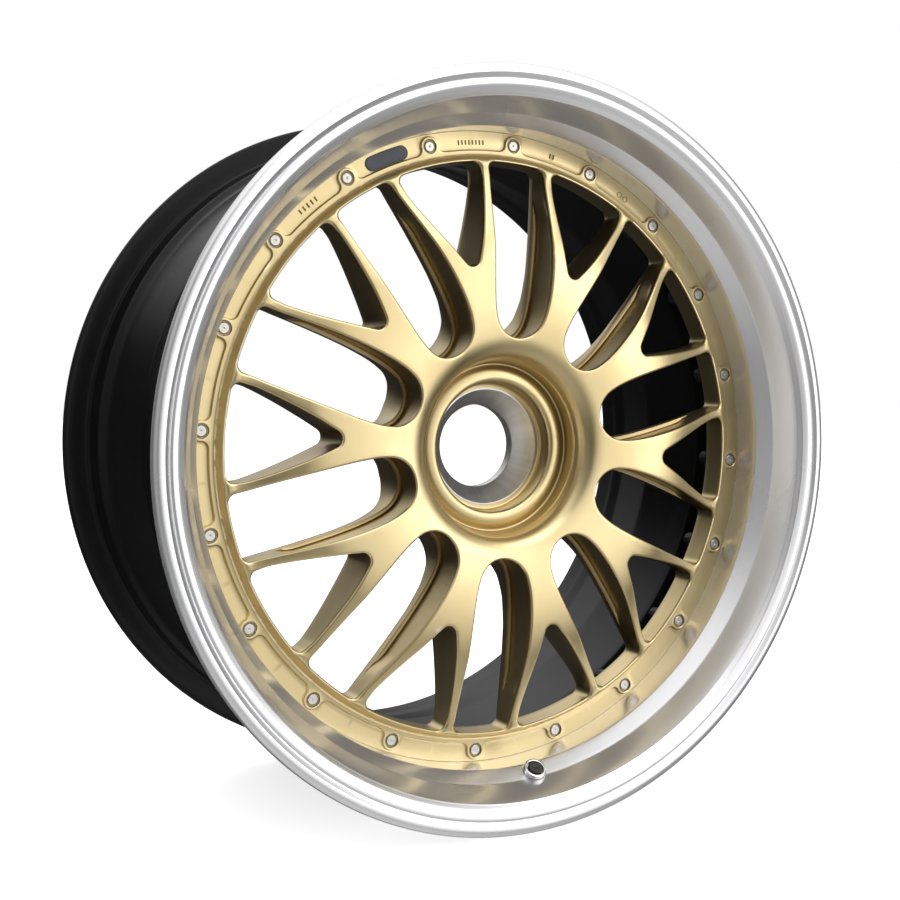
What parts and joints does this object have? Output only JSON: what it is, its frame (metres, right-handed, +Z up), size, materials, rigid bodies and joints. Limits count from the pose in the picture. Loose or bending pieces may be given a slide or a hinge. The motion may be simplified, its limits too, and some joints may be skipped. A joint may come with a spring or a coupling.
{
  "type": "forged racing wheel",
  "caption": "Three-piece forged racing wheel: gold Y-spoke centre with centre-lock hub, polished deep outer rim half, black inner half, bolted together, with a clamp-in valve.",
  "frame": {"origin": "on the wheel's axis, midway between the front and rear rim edges", "axes": "+Y along the wheel's axis towards the car (inboard), -Y outboard, +Z up, +X to the right seen from the front; the valve is at the bottom"},
  "size_m": [0.4716, 0.234, 0.4716],
  "materials": {
    "gold_paint": "satin champagne-gold paint with fine metallic flake",
    "polished_rim": "turned and polished, fine circumferential lines",
    "black_rim": "satin black paint",
    "bolt_steel": "satin",
    "washer_steel": "satin",
    "insert_steel": "dull",
    "black_rubber": "matte",
    "grey_sealant": "matte, hand smoothed",
    "seat_steel": "turned",
    "spring_steel": "satin",
    "bush_steel": "ground",
    "label_grey": "satin",
    "valve_metal": "polished",
    "core_brass": "satin",
    "gasket_white": "matte",
    "black_plastic": "matte",
    "red_rubber": "matte"
  },
  "bodies": {
    "wheel": {"wheel_centre": "gold_paint", "outer_rim_half": "polished_rim", "inner_rim_half": "black_rim", "assembly_bolts": "bolt_steel", "bolt_washers": "washer_steel", "thread_inserts": "insert_steel", "rim_o_ring": "black_rubber", "sealant_bead": "grey_sealant", "nut_seat": "seat_steel", "drive_bushes": "bush_steel", "label_plate": "label_grey", "valve_stem": "valve_metal", "valve_grommet": "black_rubber", "valve_washer": "valve_metal", "valve_nut": "valve_metal", "valve_core_body": "core_brass", "valve_core_gasket": "gasket_white", "valve_core_spring": "spring_steel"},
    "valve_cap": {"valve_cap": "black_plastic", "valve_cap_seal": "red_rubber"},
    "valve_core_pin": {"valve_core_pin": "core_brass", "valve_core_washer": "black_rubber"}
  },
  "joints": [
    {"name": "valve_cap_lift", "type": "slide", "parent": "wheel", "child": "valve_cap", "axis": [-0.0608, -0.585, 0.8088], "range_m": [0, 0.012]},
    {"name": "valve_core_press", "type": "slide", "parent": "wheel", "child": "valve_core_pin", "axis": [0.0608, 0.585, -0.8088], "range_m": [0, 0.001], "stiffness_N_per_m": 2500, "springref_m": -0.001, "deforming": ["valve_core_spring"]}
  ]
}
